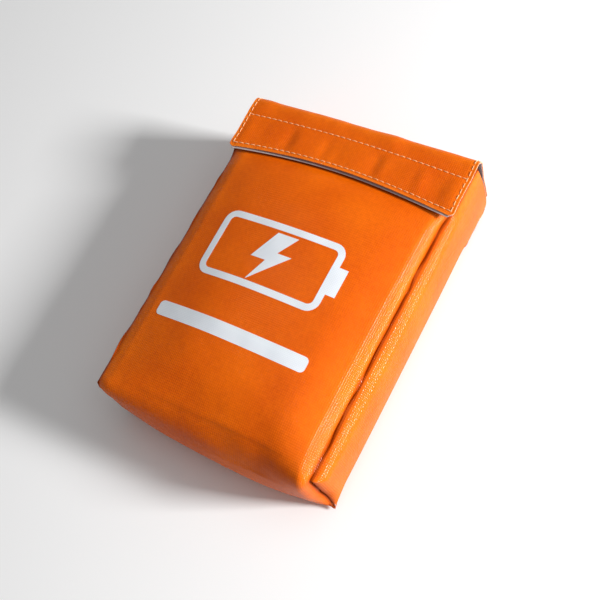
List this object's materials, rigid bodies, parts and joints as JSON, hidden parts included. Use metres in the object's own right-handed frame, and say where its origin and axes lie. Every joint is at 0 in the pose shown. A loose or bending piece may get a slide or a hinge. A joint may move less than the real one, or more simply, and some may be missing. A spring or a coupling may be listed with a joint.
{
  "type": "battery safety pouch",
  "caption": "Soft rectangular fire-resistant pouch for lithium battery packs, with a deep gusseted body and a fold-over flap closed by hook and loop tape.",
  "frame": {"origin": "middle of the box that the closed pouch fills, on the surface that the back panel rests on", "axes": "+X towards the pouch's right side as seen from the front, +Y from the bottom towards the mouth, +Z out of the front panel"},
  "size_m": [0.18, 0.2446, 0.0645],
  "materials": {
    "shell_orange": "orange silicone-coated glass cloth, glossy, fine plain weave",
    "lining_grey": "warm grey woven lining cloth, matt",
    "loop_tape": "napped loop pile",
    "hook_tape": "woven ground with small stiff hooks",
    "thread": "pale orange twisted polyester thread",
    "print": "satin silver-white screen print"
  },
  "bodies": {
    "pouch": {"front_panel": "shell_orange", "bottom_panel": "shell_orange", "back_panel": "shell_orange", "right_side_panel": "shell_orange", "left_side_panel": "shell_orange", "front_lining": "lining_grey", "bottom_lining": "lining_grey", "back_lining": "lining_grey", "right_lining": "lining_grey", "left_lining": "lining_grey", "flap_root_lining": "lining_grey", "loop_tape": "loop_tape", "loop_tape_stitches": "thread", "right_seam_stitches": "thread", "left_seam_stitches": "thread", "front_print": "print"},
    "flap_top": {"flap_top_shell": "shell_orange", "flap_top_lining": "lining_grey", "flap_top_edge_stitches": "thread"},
    "flap_front": {"flap_front_shell": "shell_orange", "flap_front_lining": "lining_grey", "hook_tape": "hook_tape", "flap_hem_stitches": "thread", "hook_tape_stitches": "thread", "flap_front_edge_stitches": "thread"}
  },
  "joints": [
    {"name": "flap_top_fold", "type": "hinge", "parent": "pouch", "child": "flap_top", "pos_m": [0, 0.11935, 0.00234], "axis": [-1, 0, 0], "range_deg": [0, 90]},
    {"name": "flap_front_fold", "type": "hinge", "parent": "flap_top", "child": "flap_front", "pos_m": [0, 0.11935, 0.06158], "axis": [-1, 0, 0], "range_deg": [0, 90]}
  ]
}
